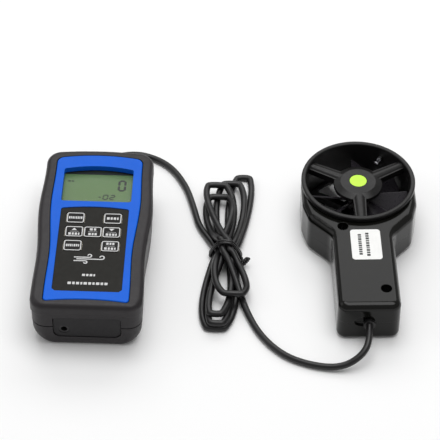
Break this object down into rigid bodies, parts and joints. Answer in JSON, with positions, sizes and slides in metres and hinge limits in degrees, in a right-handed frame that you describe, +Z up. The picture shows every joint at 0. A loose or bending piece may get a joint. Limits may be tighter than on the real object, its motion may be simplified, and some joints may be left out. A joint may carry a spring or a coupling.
{
  "type": "vane anemometer",
  "caption": "Handheld air-speed meter with a display and keypad, and a vane probe whose impeller spins in a guarded duct, joined by a bundled cord.",
  "frame": {"origin": "on the supporting surface, under the middle of the handset and probe's common outline, the cord left out", "axes": "+Z up out of the display, +X from the handset towards the probe, +Y from the handset's jack end towards its display end"},
  "size_m": [0.216, 0.1737, 0.0335],
  "materials": {
    "case_black": "satin moulded plastic",
    "faceplate_blue": "semi-gloss moulded plastic",
    "window_clear": "clear acrylic",
    "display_glass": "grey-green reflective display",
    "contact_rubber": "striped contact rubber",
    "overlay_black": "fine matt printed film",
    "carrier_plastic": "translucent film",
    "bright_steel": "bright",
    "key_plastic": "matt with printed outline",
    "board_green": "solder mask",
    "chip_black": "matt",
    "battery_skin": "wrapped steel can",
    "panel_black": "fine texture",
    "cord_black": "matt jacket",
    "probe_gloss": "glossy moulded plastic",
    "duct_black": "satin moulded plastic",
    "bearing_brass": "turned",
    "sticker_green": "bright printed disc",
    "impeller_black": "satin thin moulding",
    "label_white": "paper label",
    "tie_black": "coated wire"
  },
  "bodies": {
    "instrument": {"front_case": "case_black", "rear_case": "case_black", "faceplate": "faceplate_blue", "display_window": "window_clear", "display_panel": "display_glass", "display_contacts": "contact_rubber", "keypad_overlay": "overlay_black", "keypad_spacer": "carrier_plastic", "keypad_circuit": "carrier_plastic", "key_domes": "bright_steel", "main_board": "board_green", "board_chips": "chip_black", "board_screws": "bright_steel", "battery": "battery_skin", "battery_snap": "chip_black", "case_screws": "bright_steel", "end_panel": "panel_black", "power_jack": "chip_black", "cord_gland": "cord_black", "probe_top": "probe_gloss", "probe_bottom": "probe_gloss", "probe_screws": "bright_steel", "duct_ring": "duct_black", "rear_guard": "duct_black", "bearings": "bearing_brass", "hub_sticker": "sticker_green", "pickup": "chip_black", "sensor_board": "board_green", "thermistor": "bright_steel", "probe_label": "label_white", "probe_grommet": "cord_black", "cord_run_handset": "cord_black", "cord_run_probe": "cord_black", "cord_hank": "cord_black", "cord_tie": "tie_black"},
    "rotor": {"impeller": "impeller_black", "rotor_shaft": "bright_steel"},
    "door": {"battery_door": "case_black"},
    "key_function_body": {"key_function": "key_plastic"},
    "key_unit_body": {"key_unit": "key_plastic"},
    "key_up_body": {"key_up": "key_plastic"},
    "key_power_body": {"key_power": "key_plastic"},
    "key_down_body": {"key_down": "key_plastic"},
    "key_hold_body": {"key_hold": "key_plastic"},
    "key_menu_body": {"key_menu": "key_plastic"}
  },
  "joints": [
    {"name": "rotor_spin", "type": "hinge", "parent": "instrument", "child": "rotor", "pos_m": [0.0742, 0.0397, 0], "axis": [0, 0, 1], "continuous": true},
    {"name": "key_function_press", "type": "slide", "parent": "instrument", "child": "key_function_body", "axis": [0, 0, -1], "range_m": [0, 0.0003], "stiffness_N_per_m": 900, "springref_m": -0.0004},
    {"name": "key_unit_press", "type": "slide", "parent": "instrument", "child": "key_unit_body", "axis": [0, 0, -1], "range_m": [0, 0.0003], "stiffness_N_per_m": 900, "springref_m": -0.0004},
    {"name": "key_up_press", "type": "slide", "parent": "instrument", "child": "key_up_body", "axis": [0, 0, -1], "range_m": [0, 0.0003], "stiffness_N_per_m": 900, "springref_m": -0.0004},
    {"name": "key_power_press", "type": "slide", "parent": "instrument", "child": "key_power_body", "axis": [0, 0, -1], "range_m": [0, 0.0003], "stiffness_N_per_m": 900, "springref_m": -0.0004},
    {"name": "key_down_press", "type": "slide", "parent": "instrument", "child": "key_down_body", "axis": [0, 0, -1], "range_m": [0, 0.0003], "stiffness_N_per_m": 900, "springref_m": -0.0004},
    {"name": "key_hold_press", "type": "slide", "parent": "instrument", "child": "key_hold_body", "axis": [0, 0, -1], "range_m": [0, 0.0003], "stiffness_N_per_m": 900, "springref_m": -0.0004},
    {"name": "key_menu_press", "type": "slide", "parent": "instrument", "child": "key_menu_body", "axis": [0, 0, -1], "range_m": [0, 0.0003], "stiffness_N_per_m": 900, "springref_m": -0.0004},
    {"name": "battery_door_release", "type": "slide", "parent": "instrument", "child": "door", "axis": [0, 0, -1], "range_m": [0, 0.012]}
  ]
}
